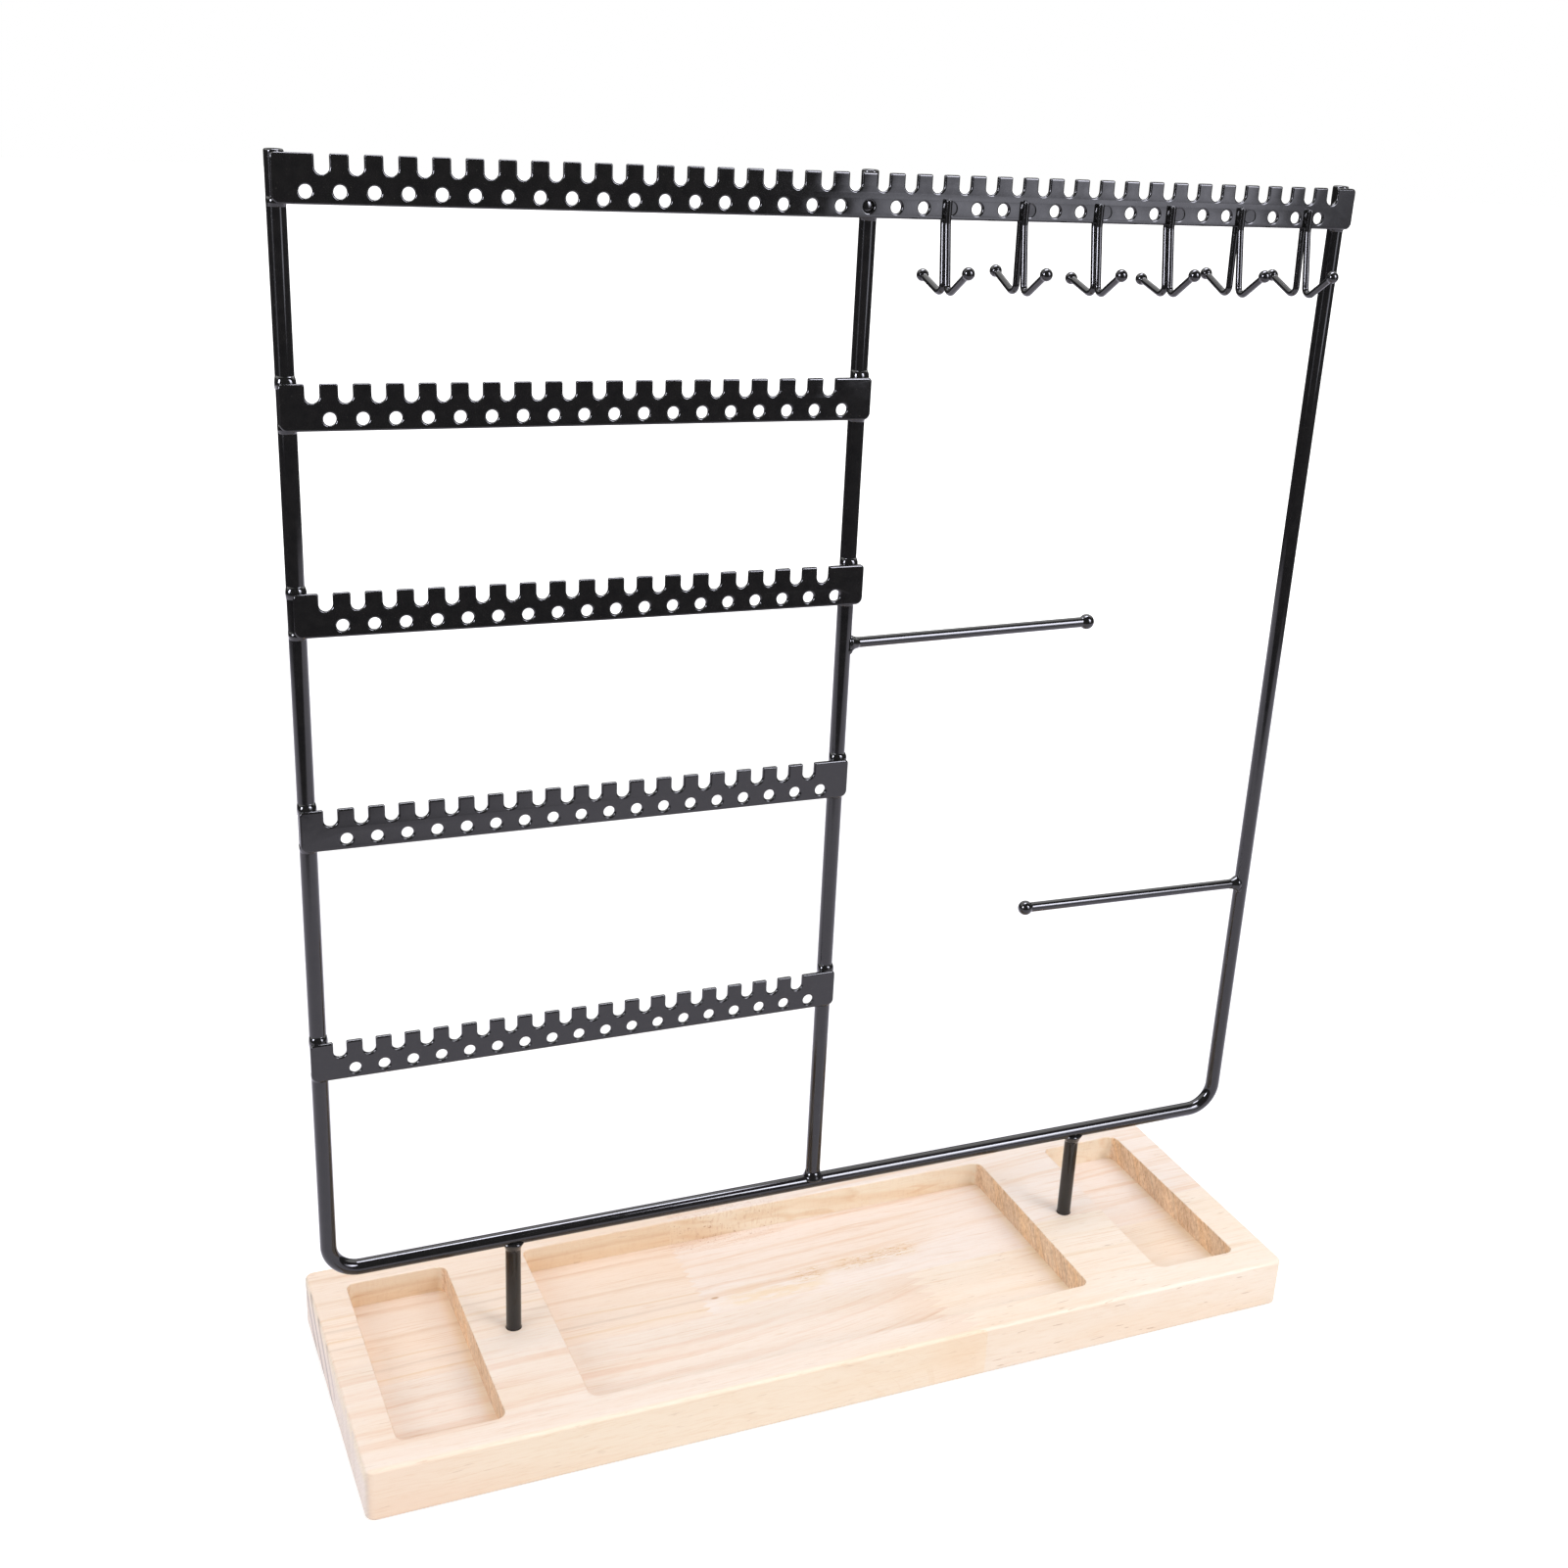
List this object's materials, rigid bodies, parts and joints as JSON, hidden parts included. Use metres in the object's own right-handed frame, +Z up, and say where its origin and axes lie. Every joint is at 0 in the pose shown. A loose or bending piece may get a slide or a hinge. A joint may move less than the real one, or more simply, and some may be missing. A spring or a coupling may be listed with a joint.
{
  "type": "jewelry stand",
  "caption": "Free-standing jewelry stand: black rod frame with slotted earring rails, double necklace hooks and bracelet arms on a pine base with milled trays.",
  "frame": {"origin": "centre of the base board's footprint, on its underside", "axes": "+X along the base to the right, +Y to the back, +Z up; the earring rails are on the left and the hooks on the right"},
  "size_m": [0.3477, 0.1116, 0.4018],
  "materials": {
    "pine": "matte, sanded, unstained",
    "black_coating": "gloss black coating on steel",
    "zinc_steel": "zinc plated"
  },
  "bodies": {
    "root": {"base_board": "pine", "frame_hoop": "black_coating", "centre_upright": "black_coating", "top_rail": "black_coating", "earring_rail_1": "black_coating", "earring_rail_2": "black_coating", "earring_rail_3": "black_coating", "earring_rail_4": "black_coating", "upper_arm": "black_coating", "upper_arm_ball": "black_coating", "lower_arm": "black_coating", "lower_arm_ball": "black_coating", "left_post": "black_coating", "right_post": "black_coating", "front_hook_1": "black_coating", "front_hook_1_ball": "black_coating", "front_hook_2": "black_coating", "front_hook_2_ball": "black_coating", "front_hook_3": "black_coating", "front_hook_3_ball": "black_coating", "front_hook_4": "black_coating", "front_hook_4_ball": "black_coating", "front_hook_5": "black_coating", "front_hook_5_ball": "black_coating", "front_hook_6": "black_coating", "front_hook_6_ball": "black_coating", "rear_hook_1": "black_coating", "rear_hook_1_ball": "black_coating", "rear_hook_2": "black_coating", "rear_hook_2_ball": "black_coating", "rear_hook_3": "black_coating", "rear_hook_3_ball": "black_coating", "rear_hook_4": "black_coating", "rear_hook_4_ball": "black_coating", "rear_hook_5": "black_coating", "rear_hook_5_ball": "black_coating", "rear_hook_6": "black_coating", "rear_hook_6_ball": "black_coating", "post_screws": "zinc_steel", "post_washers": "zinc_steel"}
  },
  "joints": []
}
